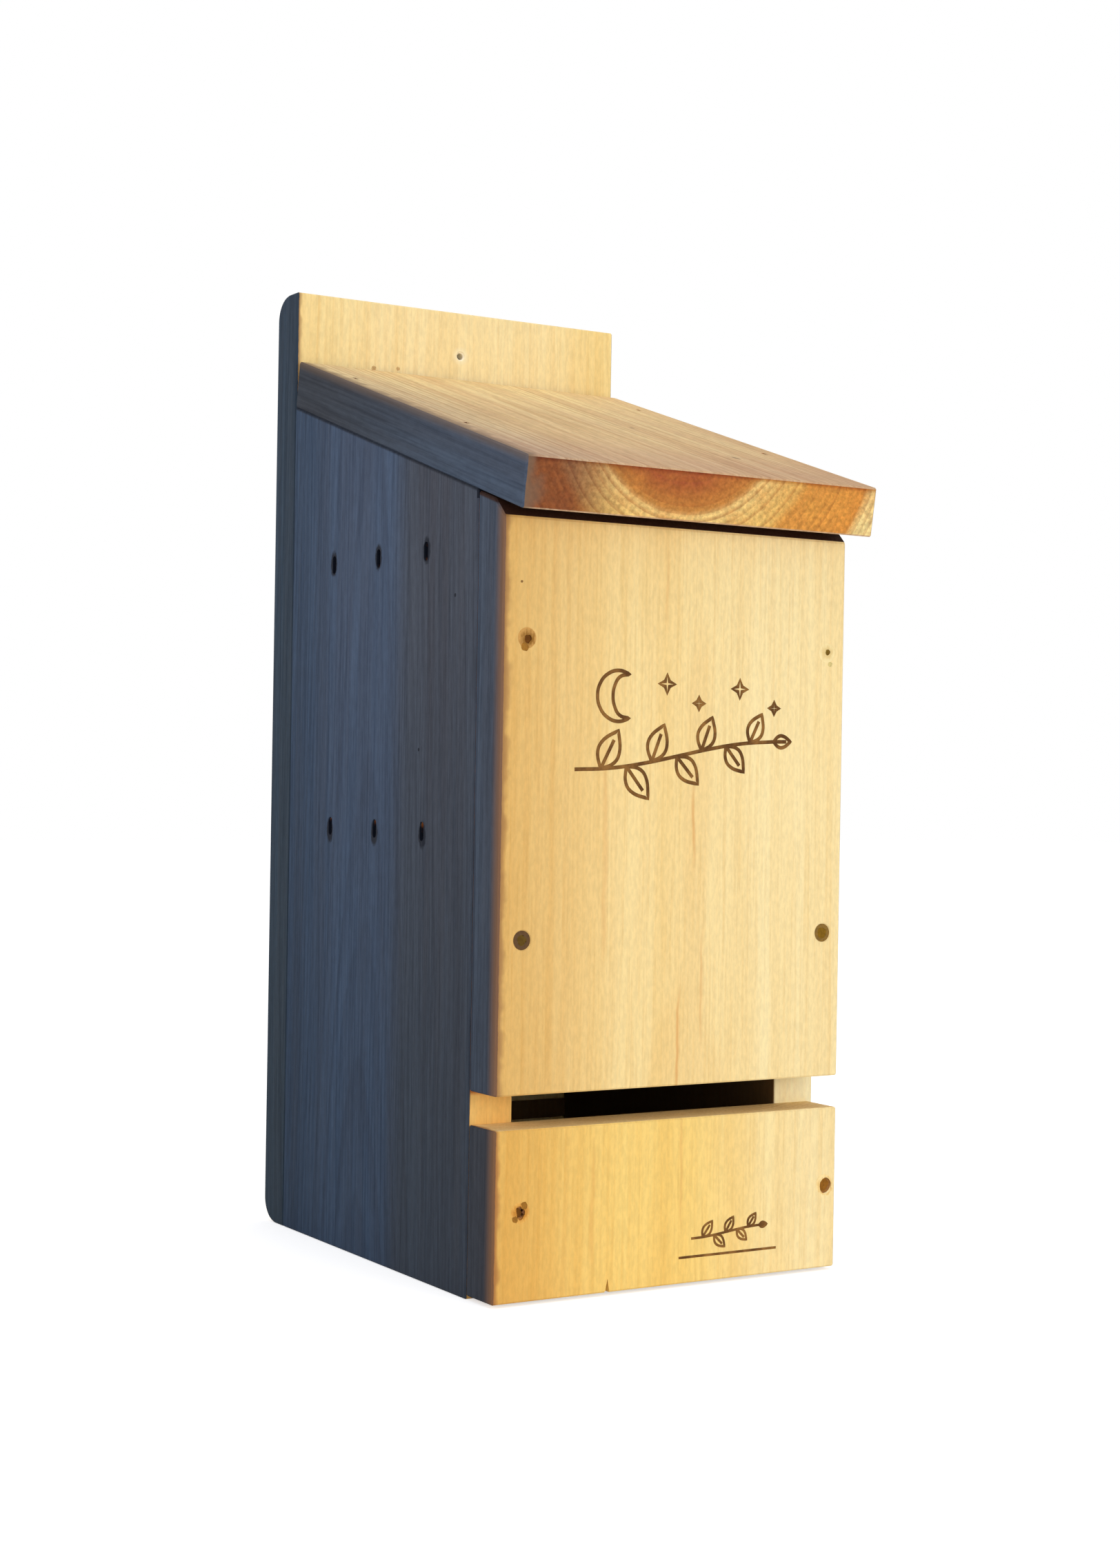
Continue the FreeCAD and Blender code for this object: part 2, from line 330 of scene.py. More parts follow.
chamber = {"halfWidth": 70.3, "front": -184.3, "rear": 0.3, "rearHeight": 403.8}
grainMasks = makeGrainMasks()
grainColour = makeGrainColour()
paintedSideShade = makePaintedSideShade()
chamberMask = makeChamberMask()
pinKnots = makePinKnots()
woodFlecks = makeWoodFlecks()
print("shader groups made")


# Looks of the wood. A face lies along the grain and an end across it.

frontWood = {
    "face": {"early": rgb(252, 232, 177), "late": rgb(234, 192, 120), "band": rgb(245, 215, 149),
             "fibre": rgb(232, 196, 128), "ring": 0.28, "bands": 0.5, "fibres": 0.36,
             "fleckSize": 1.6, "fleckDepth": 0.07},
    "end": {"early": rgb(244, 216, 156), "late": rgb(204, 156, 92), "band": rgb(234, 198, 132),
            "fibre": rgb(206, 160, 100), "ring": 0.5, "bands": 0.5, "fibres": 0.3,
            "fleckSize": 1.2, "fleckDepth": 0.1},
}
# painted light: a paler copy of the front wood for the right side, to brighten its front edge in
# the vent slot
paintedLightWood = {
    "face": {**frontWood["face"], "early": rgb(255, 246, 204), "late": rgb(254, 228, 166),
             "band": rgb(255, 238, 186), "fibre": rgb(254, 230, 170)},
    "end": frontWood["end"],
}
roofWood = {
    "face": {"early": rgb(248, 222, 162), "late": rgb(204, 156, 96), "band": rgb(226, 188, 134),
             "fibre": rgb(196, 150, 98), "ring": 0.6, "bands": 0.7, "fibres": 0.45,
             "fleckSize": 2.2, "fleckDepth": 0.1},
    "end": {"late": rgb(158, 86, 32), "band": rgb(206, 132, 58), "fibre": rgb(142, 76, 30),
            "ring": 0.5, "bands": 0.35, "fibres": 0.3,
            "fleckSize": 2.4, "fleckDepth": 0.22,
            # heartwood, a pale ring and sapwood, as shares of the reach from the pith
            "reach": 140,
            "rings": ((0.0, rgb(166, 82, 42)), (0.27, rgb(166, 84, 42)),
                      (0.32, rgb(182, 112, 48)), (0.35, rgb(198, 136, 64)),
                      (0.37, rgb(246, 210, 132)), (0.42, rgb(240, 200, 118)),
                      (0.49, rgb(236, 192, 104)), (0.52, rgb(226, 160, 70)),
                      (0.72, rgb(228, 152, 62)), (0.75, rgb(250, 222, 148)),
                      (1.0, rgb(252, 232, 168)))},
}
# painted shade: a slate-blue look for the outer left and right faces, standing in for the shade on
# the boards' sides
slateShade = {"early": rgb(76, 94, 120), "late": rgb(47, 59, 81), "band": rgb(68, 77, 96),
              "fibre": rgb(47, 59, 79), "ring": 0.5, "bands": 0.6, "fibres": 0.45,
              "fleckSize": 2.6, "fleckDepth": 0.12}
# painted shade: a darker tint for the faces inside the box
chamberShade = rgb(116, 94, 74)
# painted shade for the driver's marks, the side's corner under the roof and the roof joint, and the
# colour of the side's dark specks
markShadeAndSpeckColour = rgb(10, 17, 32)
knotColour = rgb(96, 62, 34)
knotStrength = 0.6
streakColour = rgb(214, 142, 62)
streakSway = 6
streakFade = (14, 8)  # beyond and before each end
# browner blends in the painted side shade, near the roof's top edge and the panels' front edge
topEdgeBrown = {"reach": 5, "strength": 0.5, "colour": rgb(126, 102, 80)}
frontEdgeBrown = {"reach": 8, "strength": 0.75, "colour": rgb(140, 98, 62)}
# painted shade under the roof, on the upper panel's top bevel and the top of its left end
gapShadeColour = rgb(46, 20, 8)
gapLevels = (3.6, 2.4)  # below the inside's height at the back

# A tint multiplies the colour in full at one place along an axis and fades out to another
# painted light: the front panels darker and warmer to the left and paler to the right, as the light
# falls on them
paintedShadeLeft = {"axis": 0, "full": -86, "none": -24, "tint": rgb(236, 218, 189)}
paintedLightRight = {"axis": 0, "full": -10, "none": 70, "tint": rgb(250, 242, 226)}
# tints of the painted side shade: darker low down and toward the back, warmer toward the front
sideShadeTints = (
    {"axis": 2, "full": 40, "none": 370, "tint": rgb(191, 205, 212)},
    {"axis": 1, "full": -126, "none": -100, "tint": rgb(250, 222, 202)},
    {"axis": 1, "full": -10, "none": -60, "tint": rgb(206, 217, 222)},
)
panelSideShadeTints = (
    {"axis": 2, "full": 40, "none": 370, "tint": rgb(206, 205, 205)},
)
roofTints = (
    {"axis": 1, "full": -125, "none": -20, "tint": rgb(236, 232, 236)},
    {"axis": 1, "full": -215, "none": -140, "tint": rgb(238, 230, 242)},
    {"axis": 0, "full": -86, "none": -30, "tint": rgb(234, 236, 248)},
)

# How the grain's own Z is turned in a board, and the way its fibres run
upright = {"turn": (0, 0, 0), "fibres": (0, 0, 1)}
level = {"turn": (0, 90, 0), "fibres": (1, 0, 0)}
downRoof = {"turn": (roofPitch - 90, 0, 0),
            "fibres": (0, math.cos(math.radians(roofPitch)), math.sin(math.radians(roofPitch)))}
# the left and right x from which the painted side shade covers a board
sideLimits = (-91.25, 91.9)
panelLimits = (-90.75, 89.1)
brownFringe = rgb(150, 104, 62)
fringeStrength = 0.8
boards = {
    "back_board": {
        "wood": frontWood, "grain": upright, "pith": (30, 87, 0), "ringWidth": 3.4, "taper": 0.02,
        "wobble": 8, "fineness": 700, "limits": sideLimits, "raggedEdge": 0.7, "fringe": 2.5,
        "fringeColour": brownFringe, "sideShadeTone": rgb(176, 190, 186), "hangHole": True,
        "sideShadeTints": ({"axis": 2, "full": 60, "none": 380, "tint": rgb(226, 232, 230)},),
        "tints": ({"axis": 0, "full": 92, "none": 40, "tint": rgb(253, 246, 224)},
                  {"axis": 0, "full": -90, "none": -30, "tint": rgb(253, 248, 234)}),
    },
    "left_side": {
        "wood": frontWood, "grain": upright, "pith": (-40, -83, 0), "ringWidth": 3.6,
        "taper": 0.05, "wobble": 9, "fineness": 600, "limits": sideLimits, "raggedEdge": 0.3,
        "fringe": 0.6, "fringeColour": brownFringe, "sideShadeTints": sideShadeTints, "marks": True,
        # the second tint is a painted shadow of the upper panel on the side's front edge, at the
        # top of the vent slot
        "tints": ({"axis": 0, "full": -92, "none": 92, "tint": rgb(255, 228, 178)},
                  {"axis": 2, "full": 89, "none": 86.5, "tint": rgb(200, 140, 104)}),
        # depth, height and radius of dark specks on the outer face
        "specks": ((-165.3, 301.6, 1.0), (-134.0, 234.7, 0.9)),
    },
    "right_side": {
        "wood": paintedLightWood, "grain": upright, "pith": (40, -98, 60), "ringWidth": 3.4,
        "taper": 0.05, "wobble": 9, "fineness": 600, "limits": sideLimits, "raggedEdge": 0.3,
        "fringe": 0.6, "fringeColour": brownFringe, "sideShadeTints": sideShadeTints, "marks": True,
    },
    "roof_board": {
        "wood": roofWood, "grain": downRoof, "pith": (-12, 0, 462.5), "ringWidth": 3.4,
        "taper": 0.01, "wobble": 5, "fineness": 650, "limits": sideLimits, "raggedEdge": 0.8,
        "fringe": 11, "fringeColour": rgb(118, 96, 76), "sideShadeTone": rgb(252, 244, 234),
        "sideShadeTints": ({"axis": 1, "full": -10, "none": -215, "tint": rgb(192, 178, 168)},),
        "topEdgeLevel": 426.3, "tints": roofTints,
        "endTints": ({"axis": 0, "full": -72, "none": -36, "tint": rgb(160, 132, 152)},
                     {"axis": 3, "full": 426, "none": 423.2, "tint": rgb(200, 160, 120)}),
    },
    "upper_front_panel": {
        "wood": frontWood, "grain": upright, "pith": (8, -83, 0), "ringWidth": 3.3,
        "taper": 0.006, "wobble": 7, "fineness": 750, "limits": panelLimits, "raggedEdge": 0.7,
        "fringe": 4.5, "fringeColour": brownFringe, "sideShadeTints": panelSideShadeTints,
        "sideShadeTone": rgb(255, 242, 228), "frontEdgeBrown": True, "shadedTop": 333.3,
        "tints": (paintedShadeLeft, paintedLightRight),
        # x, half the width, lowest and highest z, strength
        "streaks": ((7.5, 1.4, 192, 216, 0.5), (0.5, 1.3, 86, 124, 0.55),
                    (-39, 2.2, 150, 232, 0.25), (13, 1.2, 112, 150, 0.3),
                    (-8, 1.5, 296, 320, 0.25)),
    },
    "lower_front_panel": {
        "wood": frontWood, "grain": upright, "pith": (12, -79, 40), "ringWidth": 3.3,
        "taper": 0.006, "wobble": 7, "fineness": 750, "limits": panelLimits, "raggedEdge": 0.7,
        "fringe": 4.0, "fringeColour": rgb(158, 96, 54), "sideShadeTints": panelSideShadeTints,
        "sideShadeTone": rgb(233, 209, 190), "frontEdgeBrown": True,
        "streaks": ((-42, 1.6, 20, 60, 0.25), (4, 1.2, 30, 75, 0.3)),
        # painted light on the lower panel too, darker to the left and paler to the right
        "tints": ({**paintedShadeLeft, "tint": rgb(238, 221, 202)},
                  {"axis": 0, "full": 0, "none": 75, "tint": rgb(251, 235, 184)}),
    },
    "rear_partition": {
        "wood": frontWood, "grain": level, "pith": (0, 37, 260), "ringWidth": 3.3,
        "taper": 0.01, "wobble": 7, "fineness": 700,
    },
    "middle_partition": {
        "wood": frontWood, "grain": level, "pith": (0, -13, 240), "ringWidth": 3.3,
        "taper": 0.01, "wobble": 7, "fineness": 700,
    },
    "front_partition": {
        "wood": frontWood, "grain": level, "pith": (0, -63, 250), "ringWidth": 3.3,
        "taper": 0.01, "wobble": 7, "fineness": 700,
    },
}


def colouredGrain(tree, along, masks, look):
    early = look.get("early")
    if "rings" in look:
        share = addMath(tree, "DIVIDE", masks["Radius"], look["reach"] * mm)
        early = addColourRamp(tree, share, look["rings"])
    inputs = {
        "Late": masks["Late"], "Bands": masks["Bands"], "Streak": masks["Streak"],
        "Early Colour": early, "Late Colour": look["late"], "Band Colour": look["band"],
        "Fibre Colour": look["fibre"], "Ring Contrast": look["ring"],
        "Band Contrast": look["bands"], "Fibre Contrast": look["fibres"],
    }
    colour = addGroup(tree, grainColour, inputs)["Colour"]
    flecks = addGroup(tree, woodFlecks, {
        "Vector": along, "Size": look["fleckSize"] * mm, "Depth": look["fleckDepth"]})["Factor"]
    return addScaled(tree, colour, flecks)


def tinted(tree, colour, place, tints):
    parts = (*addParts(tree, place), addLevel(tree, place))
    for tint in tints:
        start = backFace if tint["axis"] == 1 else 0
        share = addRamp(tree, parts[tint["axis"]], start + tint["full"] * mm,
                        start + tint["none"] * mm, 1.0, 0.0)
        colour = addMix(tree, share, colour, tint["tint"], "MULTIPLY")
    return colour


def streakedColour(tree, place, colour, streaks):
    # orange streaks up the grain
    if not streaks:
        return colour
    parts = addParts(tree, place)
    sway = addNoise(tree, addStretched(tree, place, (1, 1, 0.4)), 60.0, 3.0, 0.6).outputs["Fac"]
    sway = addMath(tree, "MULTIPLY", addMath(tree, "SUBTRACT", sway, 0.5), streakSway * mm)
    x = addMath(tree, "ADD", parts[0], sway)
    longer, shorter = streakFade
    for middle, half, low, high, strength in streaks:
        away = addMath(tree, "ABSOLUTE", addMath(tree, "SUBTRACT", x, middle * mm))
        mask = addRamp(tree, away, 0.0, half * mm, strength, 0.0)
        rise = addRamp(tree, parts[2], (low - longer) * mm, (low + shorter) * mm)
        fall = addRamp(tree, parts[2], (high - shorter) * mm, (high + longer) * mm, 1.0, 0.0)
        fade = addMath(tree, "MULTIPLY", rise, fall)
        colour = addMix(tree, addMath(tree, "MULTIPLY", mask, fade), colour, streakColour)
    return colour


def naturalColour(tree, place, along, masks, board):
    wood = board["wood"]
    face = colouredGrain(tree, along, masks, wood["face"])
    face = tinted(tree, face, place, board.get("tints", ()))
    face = streakedColour(tree, place, face, board.get("streaks", ()))
    end = colouredGrain(tree, along, masks, wood["end"])
    end = tinted(tree, end, place, board.get("endTints", ()))
    normal = addNode(tree, "ShaderNodeTexCoord").outputs["Normal"]
    facing = addVectorMath(tree, "DOT_PRODUCT", normal, board["grain"]["fibres"], output="Value")
    isEnd = addRamp(tree, addMath(tree, "ABSOLUTE", facing), 0.8, 0.95)
    colour = addMix(tree, isEnd, face, end)
    knots = addGroup(tree, pinKnots, {"Vector": along})["Mask"]
    colour = addMix(tree, addMath(tree, "MULTIPLY", knots, knotStrength), colour, knotColour)
    # painted shade on the faces inside the box
    inside = addGroup(tree, chamberMask, {"Vector": place})["Mask"]
    return addMix(tree, inside, colour, chamberShade, "MULTIPLY")


def sideShadedColour(tree, place, along, masks, board, natural):
    # painted shade: the slate colour on the outer side faces, over the natural wood
    left, right = board["limits"]
    sideShade = addGroup(tree, paintedSideShade, {
        "Vector": place, "Left": left * mm, "Right": right * mm, "Ragged Edge": board["raggedEdge"] * mm,
        "Fringe": board["fringe"] * mm})
    fringe = addMath(tree, "MULTIPLY", sideShade["Fringe Mask"], fringeStrength)
    fringed = addMix(tree, fringe, natural, board["fringeColour"])
    colour = colouredGrain(tree, along, masks, slateShade)
    colour = tinted(tree, colour, place, board.get("sideShadeTints", ()))
    colour = addMix(tree, 1.0, colour, board.get("sideShadeTone", rgb(255, 255, 255)), "MULTIPLY")
    # less of the painted side shade, browner instead, toward the roof's top edge and the panels'
    # front edge
    if "topEdgeLevel" in board:
        top = board["topEdgeLevel"] * mm
        browned = addRamp(tree, addLevel(tree, place), top - topEdgeBrown["reach"] * mm, top,
                       0.0, topEdgeBrown["strength"])
        colour = addMix(tree, browned, colour, topEdgeBrown["colour"])
    if board.get("frontEdgeBrown"):
        browned = addRamp(tree, addParts(tree, place)[1], panelFace,
                       panelFace + frontEdgeBrown["reach"] * mm, frontEdgeBrown["strength"], 0.0)
        colour = addMix(tree, browned, colour, frontEdgeBrown["colour"])
    return addMix(tree, sideShade["Mask"], fringed, colour)


# Painted shade in the oval marks of the driver, with the marks' depths and heights, on the corner
# of the side's front edge that shows above the upper panel, and along the joint under the roof; the
# side's dark specks share its colour
marks = {
    "places": (-45.6, -92, -138.6), "heights": (323, 196.6), "across": 3.0, "along": 5.3,
    "core": 0.85, "edge": 1.35, "ragged": 0.5, "outerFrom": 88.5, "speckCore": 0.6,
    "speckEdge": 1.1, "cornerFront": -183.2, "cornerBase": 342, "jointFrom": 2.2, "jointTo": 1.0,
    "jointStrength": 0.8,
}


def shadedMarksAndSpecks(tree, place, colour, specks):
    squeezed = addStretched(tree, place, (0, 1 / marks["across"] / mm, 1 / marks["along"] / mm))
    noise = addNoise(tree, place, 420.0, 2.0).outputs["Color"]
    ragged = marks["ragged"]
    squeezed = addVectorMath(tree, "MULTIPLY_ADD", noise, (0, ragged, ragged), squeezed)
    mask = None
    for y in marks["places"]:
        for z in marks["heights"]:
            middle = (0, (backFace / mm + y) / marks["across"] + ragged / 2,
                      z / marks["along"] + ragged / 2)
            away = addVectorMath(tree, "DISTANCE", squeezed, middle, output="Value")
            spot = addRamp(tree, away, marks["core"], marks["edge"], 1.0, 0.0)
            mask = spot if mask is None else addMath(tree, "MAXIMUM", mask, spot)
    for y, z, radius in specks:
        away = addAway(tree, place, (0, backFace + y * mm, z * mm), (0, 1, 1))
        spot = addRamp(tree, away, marks["speckCore"] * radius * mm,
                       marks["speckEdge"] * radius * mm, 1.0, 0.0)
        mask = addMath(tree, "MAXIMUM", mask, spot)
    # painted shade on the corner of the side's front edge under the roof, and along the joint under
    # the roof
    x, y, z = addParts(tree, place)
    outer = addMath(tree, "GREATER_THAN", addMath(tree, "ABSOLUTE", x), marks["outerFrom"] * mm)
    before = addMath(tree, "LESS_THAN", y, backFace + marks["cornerFront"] * mm)
    over = addMath(tree, "GREATER_THAN", z, marks["cornerBase"] * mm)
    corner = addMath(tree, "MULTIPLY", before, over)
    mask = addMath(tree, "MAXIMUM", addMath(tree, "MULTIPLY", mask, outer), corner)
    top = chamber["rearHeight"]
    joint = addRamp(tree, addLevel(tree, place), (top - marks["jointFrom"]) * mm,
                    (top - marks["jointTo"]) * mm, 0.0, marks["jointStrength"])
    return addMix(tree, addMath(tree, "MAXIMUM", mask, joint), colour, markShadeAndSpeckColour)


def shadedTopColour(tree, place, colour, height):
    # painted shade on the bevel of the upper panel's top, in the dark under the roof, and on the
    # last of its edge there
    parts = addParts(tree, place)
    above = addMath(tree, "MULTIPLY", addMath(tree, "GREATER_THAN", parts[2], height * mm),
                    addMath(tree, "GREATER_THAN", parts[0], panelLimits[0] * mm))
    low, high = (chamber["rearHeight"] - below for below in gapLevels)
    near = addRamp(tree, addLevel(tree, place), low * mm, high * mm)
    return addMix(tree, addMath(tree, "MAXIMUM", above, near), colour, gapShadeColour)


hangHole = {"height": 438, "radius": 1.75, "flare": 0.4, "halo": 5.5, "haloStrength": 0.8,
            "haloColour": rgb(253, 240, 200), "insideColour": rgb(255, 246, 222)}


def litHoleColour(tree, place, colour):
    # painted light inside the hanging hole, whose wall gets little light, and a pale ring round it
    away = addAway(tree, place, (0, 0, hangHole["height"] * mm))
    halo = addRamp(tree, away, hangHole["radius"] * mm, hangHole["halo"] * mm,
                   hangHole["haloStrength"], 0.0)
    colour = addMix(tree, halo, colour, hangHole["haloColour"])
    inside = addMath(tree, "LESS_THAN", away, (hangHole["radius"] + hangHole["flare"]) * mm)
    return addMix(tree, inside, colour, hangHole["insideColour"])


def woodMaterial(name, board):
    material, tree, shader, place = newMaterial(name)
    turn = tuple(math.radians(angle) for angle in board["grain"]["turn"])
    along = addNode(tree, "ShaderNodeMapping", {"vector_type": "TEXTURE"},
                    {"Vector": place, "Location": at(*board["pith"]), "Rotation": turn}).outputs[0]
    masks = addGroup(tree, grainMasks, {
        "Vector": along, "Ring Width": board["ringWidth"] * mm, "Taper": board["taper"],
        "Wobble": board["wobble"] * mm, "Fineness": board["fineness"]})
    colour = naturalColour(tree, place, along, masks, board)
    if "limits" in board:
        colour = sideShadedColour(tree, place, along, masks, board, colour)
    if board.get("marks"):
        colour = shadedMarksAndSpecks(tree, place, colour, board.get("specks", ()))
    if "shadedTop" in board:
        colour = shadedTopColour(tree, place, colour, board["shadedTop"])
    if board.get("hangHole"):
        colour = litHoleColour(tree, place, colour)
    tree.links.new(colour, shader.inputs["Base Color"])
    roughness = addRamp(tree, masks["Streak"], 0.3, 0.7, 0.66, 0.82)
    tree.links.new(roughness, shader.inputs["Roughness"])
    addBump(tree, shader, masks["Height"], 0.25, 0.2)
    shader.inputs["Specular IOR Level"].default_value = 0.25
    return material


for name, board in boards.items():
    giveMaterial(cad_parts[name].data, woodMaterial(name + "Wood", board))
print("boards finished")


# Fasteners. Each screw's head has its own tint of old plating: its middle in x and z, the colour of
# the head and that of its middle round the recess.

screwTints = {
    "upper_panel_screws": (((-79.5, 282), rgb(178, 124, 60), rgb(104, 60, 20)),
                           ((-79.5, 154.5), rgb(88, 56, 8), rgb(88, 62, 16)),
                           ((79.5, 282), rgb(196, 158, 88), rgb(96, 72, 24)),
                           ((79.5, 154.5), rgb(138, 102, 26), rgb(120, 86, 18))),
    "lower_panel_screws": (((-78.2, 39.5), rgb(186, 124, 44), rgb(104, 56, 14)),
                           ((82.7, 39.5), rgb(156, 102, 34), rgb(152, 98, 30))),
}
screwReach = 8
screwCore = (1.6, 2.8)  # the middle colour's reach, where it starts to fade and where it ends
nailSteelColour = rgb(62, 60, 60)
steelDirtColour = rgb(60, 44, 24)


def steelMaterial(name, roughness):
    material, tree, shader, place = newMaterial(name)
    shader.inputs["Metallic"].default_value = 0.3
    pits = addNoise(tree, place, 1500.0, 3.0, 0.6).outputs["Fac"]
    tree.links.new(addRamp(tree, pits, 0.3, 0.7, roughness - 0.08, roughness + 0.08),
                   shader.inputs["Roughness"])
    addBump(tree, shader, pits, 0.25, 0.1)
    return material, tree, shader, place


def speckled(tree, place, colour):
    noise = addNoise(tree, place, 900.0, 3.0, 0.6).outputs["Fac"]
    dirt = addRamp(tree, noise, 0.42, 0.66, 0.0, 0.4)
    return addMix(tree, dirt, colour, steelDirtColour)


def screwMaterial(name, tints):
    material, tree, shader, place = steelMaterial(name, 0.55)
    colour = None
    for (x, z), rim, core in tints:
        away = addAway(tree, place, (x * mm, 0, z * mm))
        rimShare = addRamp(tree, away, screwCore[0] * mm, screwCore[1] * mm)
        head = addMix(tree, rimShare, core, rim)
        near = addMath(tree, "LESS_THAN", away, screwReach * mm)
        colour = head if colour is None else addMix(tree, near, colour, head)
    tree.links.new(speckled(tree, place, colour), shader.inputs["Base Color"])
    return material


def nailMaterial():
    material, tree, shader, place = steelMaterial("nailSteel", 0.6)
    tree.links.new(speckled(tree, place, nailSteelColour), shader.inputs["Base Color"])
    return material


nailSteel = nailMaterial()
for name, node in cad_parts.items():
    if name in screwTints:
        giveMaterial(node.data, screwMaterial(name + "Steel", screwTints[name]))
    elif name.endswith(("nails", "staples")):
        giveMaterial(node.data, nailSteel)
print("fasteners finished")


# Burnt drawing on the front: a leafy twig under a moon and stars, and a small twig over a line

drawing = {
    "middle": (0, 244), "lineWidth": 1.9, "proud": 0.08,
    "twig": {"start": -55, "end": 50, "level": -10, "sway": 7, "swayLength": 34, "leaves": 7,
             "leafLength": 19, "leafBreadth": 0.30, "spread": 58},
    "moon": {"place": (-33, 15), "radius": 11, "bow": (0.42, 0.7, 0.9)},
    "stars": (((-8, 21), 4.2), ((9, 13), 3.0), ((31, 20), 4.2), ((50, 12), 3.0)),
}
smallDrawing = {
    "middle": (29.5, 21.5), "lineWidth": 1.3, "proud": 0.08,
    "twig": {"start": -20, "end": 17, "level": 1, "sway": 1.5, "swayLength": 12, "leaves": 5,
             "leafLength": 8.5, "leafBreadth": 0.28, "spread": 50},
    "line": ((-26.5, -8.5), (26.5, -8.5)),
}


def burntMaterial():
    material, tree, shader, place = newMaterial("burntLine")
    char = addNoise(tree, place, 140.0, 3.0, 0.6).outputs["Fac"]
    colour = addMix(tree, addRamp(tree, char, 0.3, 0.7), rgb(92, 58, 24), rgb(150, 106, 54))
    tree.links.new(colour, shader.inputs["Base Color"])
    tree.links.new(addRamp(tree, char, 0.3, 0.7, 0.8, 0.9), shader.inputs["Roughness"])
    addBump(tree, shader, char, 0.3, 0.2)
    shader.inputs["Specular IOR Level"].default_value = 0.2
    return material


def newDrawing(name, plan):
    curve = bpy.data.curves.new(name, "CURVE")
    curve.dimensions = "3D"
    curve.bevel_depth = plan["lineWidth"] / 2
    curve.bevel_resolution = 1
    curve.resolution_u = 6
    curve.use_fill_caps = True
    return curve


def addStroke(curve, points, closed=False, smooth=True):
    # points are in (x, z), and a smooth stroke rounds off between them
    stroke = curve.splines.new("BEZIER")
    stroke.bezier_points.add(len(points) - 1)
    for knot, (x, z) in zip(stroke.bezier_points, points):
        knot.co = (x, 0, z)
        knot.handle_left_type = knot.handle_right_type = "AUTO" if smooth else "VECTOR"
    stroke.use_cyclic_u = closed
    return stroke


def turnedPoint(start, angle, reach, aside=0.0):
    direction = Vector((math.cos(angle), math.sin(angle)))
    across = Vector((-direction.y, direction.x))
    return Vector(start) + direction * reach + across * aside


def addLeaf(curve, base, angle, length, breadth):
    # an outline pointed at both ends, with a midrib
    half = length * breadth
    outline = []
    for share, width in ((0.0, 0), (0.3, 0.85), (0.55, 0.9), (1.0, 0), (0.55, -0.9), (0.3, -0.85)):
        outline.append(turnedPoint(base, angle, share * length, width * half))
    stroke = addStroke(curve, outline, closed=True)
    for tip in (stroke.bezier_points[0], stroke.bezier_points[3]):
        tip.handle_left_type = tip.handle_right_type = "VECTOR"
    addStroke(curve, (base, turnedPoint(base, angle, 0.75 * length)))


def addTwig(curve, twig):
    def stemPoint(x):
        return Vector((x, twig["level"] + twig["sway"] * math.sin(x / twig["swayLength"])))

    def stemAngle(x):
        return math.atan(twig["sway"] / twig["swayLength"] * math.cos(x / twig["swayLength"]))

    span = twig["end"] - twig["start"]
    addStroke(curve, [stemPoint(twig["start"] + span * step / 6) for step in range(7)])
    spread = math.radians(twig["spread"])
    for number in range(twig["leaves"]):
        x = twig["start"] + span * (number + 1) / (twig["leaves"] + 1)
        side = 1 if number % 2 == 0 else -1
        length = twig["leafLength"] * (1 - 0.04 * number)
        addLeaf(curve, stemPoint(x), stemAngle(x) + side * spread, length, twig["leafBreadth"])
    tip = twig["end"]
    addLeaf(curve, stemPoint(tip), stemAngle(tip), twig["leafLength"] * 0.5, twig["leafBreadth"])


def addMoon(curve, moon):
    # a crescent, its two horns joined by an outer bow and a flatter one inside it
    centre = Vector(moon["place"])
    radius = moon["radius"]
    shift, wide, tall = moon["bow"]
    outer = [centre + Vector((math.cos(angle), math.sin(angle))) * radius
             for angle in [math.radians(60 + 240 * step / 8) for step in range(9)]]
    inner = [centre + Vector((shift + wide * math.cos(angle), tall * math.sin(angle))) * radius
             for angle in [math.radians(265 - 170 * step / 6) for step in range(1, 6)]]
    stroke = addStroke(curve, outer + inner, closed=True)
    for horn in (stroke.bezier_points[0], stroke.bezier_points[8]):
        horn.handle_left_type = horn.handle_right_type = "VECTOR"


def addStar(curve, place, radius):
    points = []
    for corner in range(8):
        reach = radius if corner % 2 == 0 else radius * 0.36
        points.append(turnedPoint(place, math.radians(90 + 45 * corner), reach))
    addStroke(curve, points, closed=True, smooth=False)


def burnIn(name, curve, plan):
    # the strokes are flattened onto the panel's face, a hair proud of it
    pen = bpy.data.objects.new(name + "Pen", curve)
    mesh = bpy.data.meshes.new_from_object(pen)
    bpy.data.objects.remove(pen)
    flat = 2 * plan["proud"] / plan["lineWidth"]
    x, z = plan["middle"]
    place = Matrix.Translation((x * mm, panelFace, z * mm))
    mesh.transform(place @ Matrix.Diagonal((mm, mm * flat, mm, 1)))
    mesh.name = name
    giveMaterial(mesh, burntLine)
    piece = bpy.data.objects.new(name, mesh)
    bpy.context.scene.collection.objects.link(piece)
    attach(piece, "root")


burntLine = burntMaterial()


def buildDrawings():
    curve = newDrawing("burntNightTwig", drawing)
    addTwig(curve, drawing["twig"])
    addMoon(curve, drawing["moon"])
    for place, radius in drawing["stars"]:
        addStar(curve, place, radius)
    burnIn("burntNightTwig", curve, drawing)
    small = newDrawing("burntSmallTwig", smallDrawing)
    addTwig(small, smallDrawing["twig"])
    addStroke(small, smallDrawing["line"], smooth=False)
    burnIn("burntSmallTwig", small, smallDrawing)


buildDrawings()
print("drawings burnt in")


# Torn fibres round screws that were driven in roughly

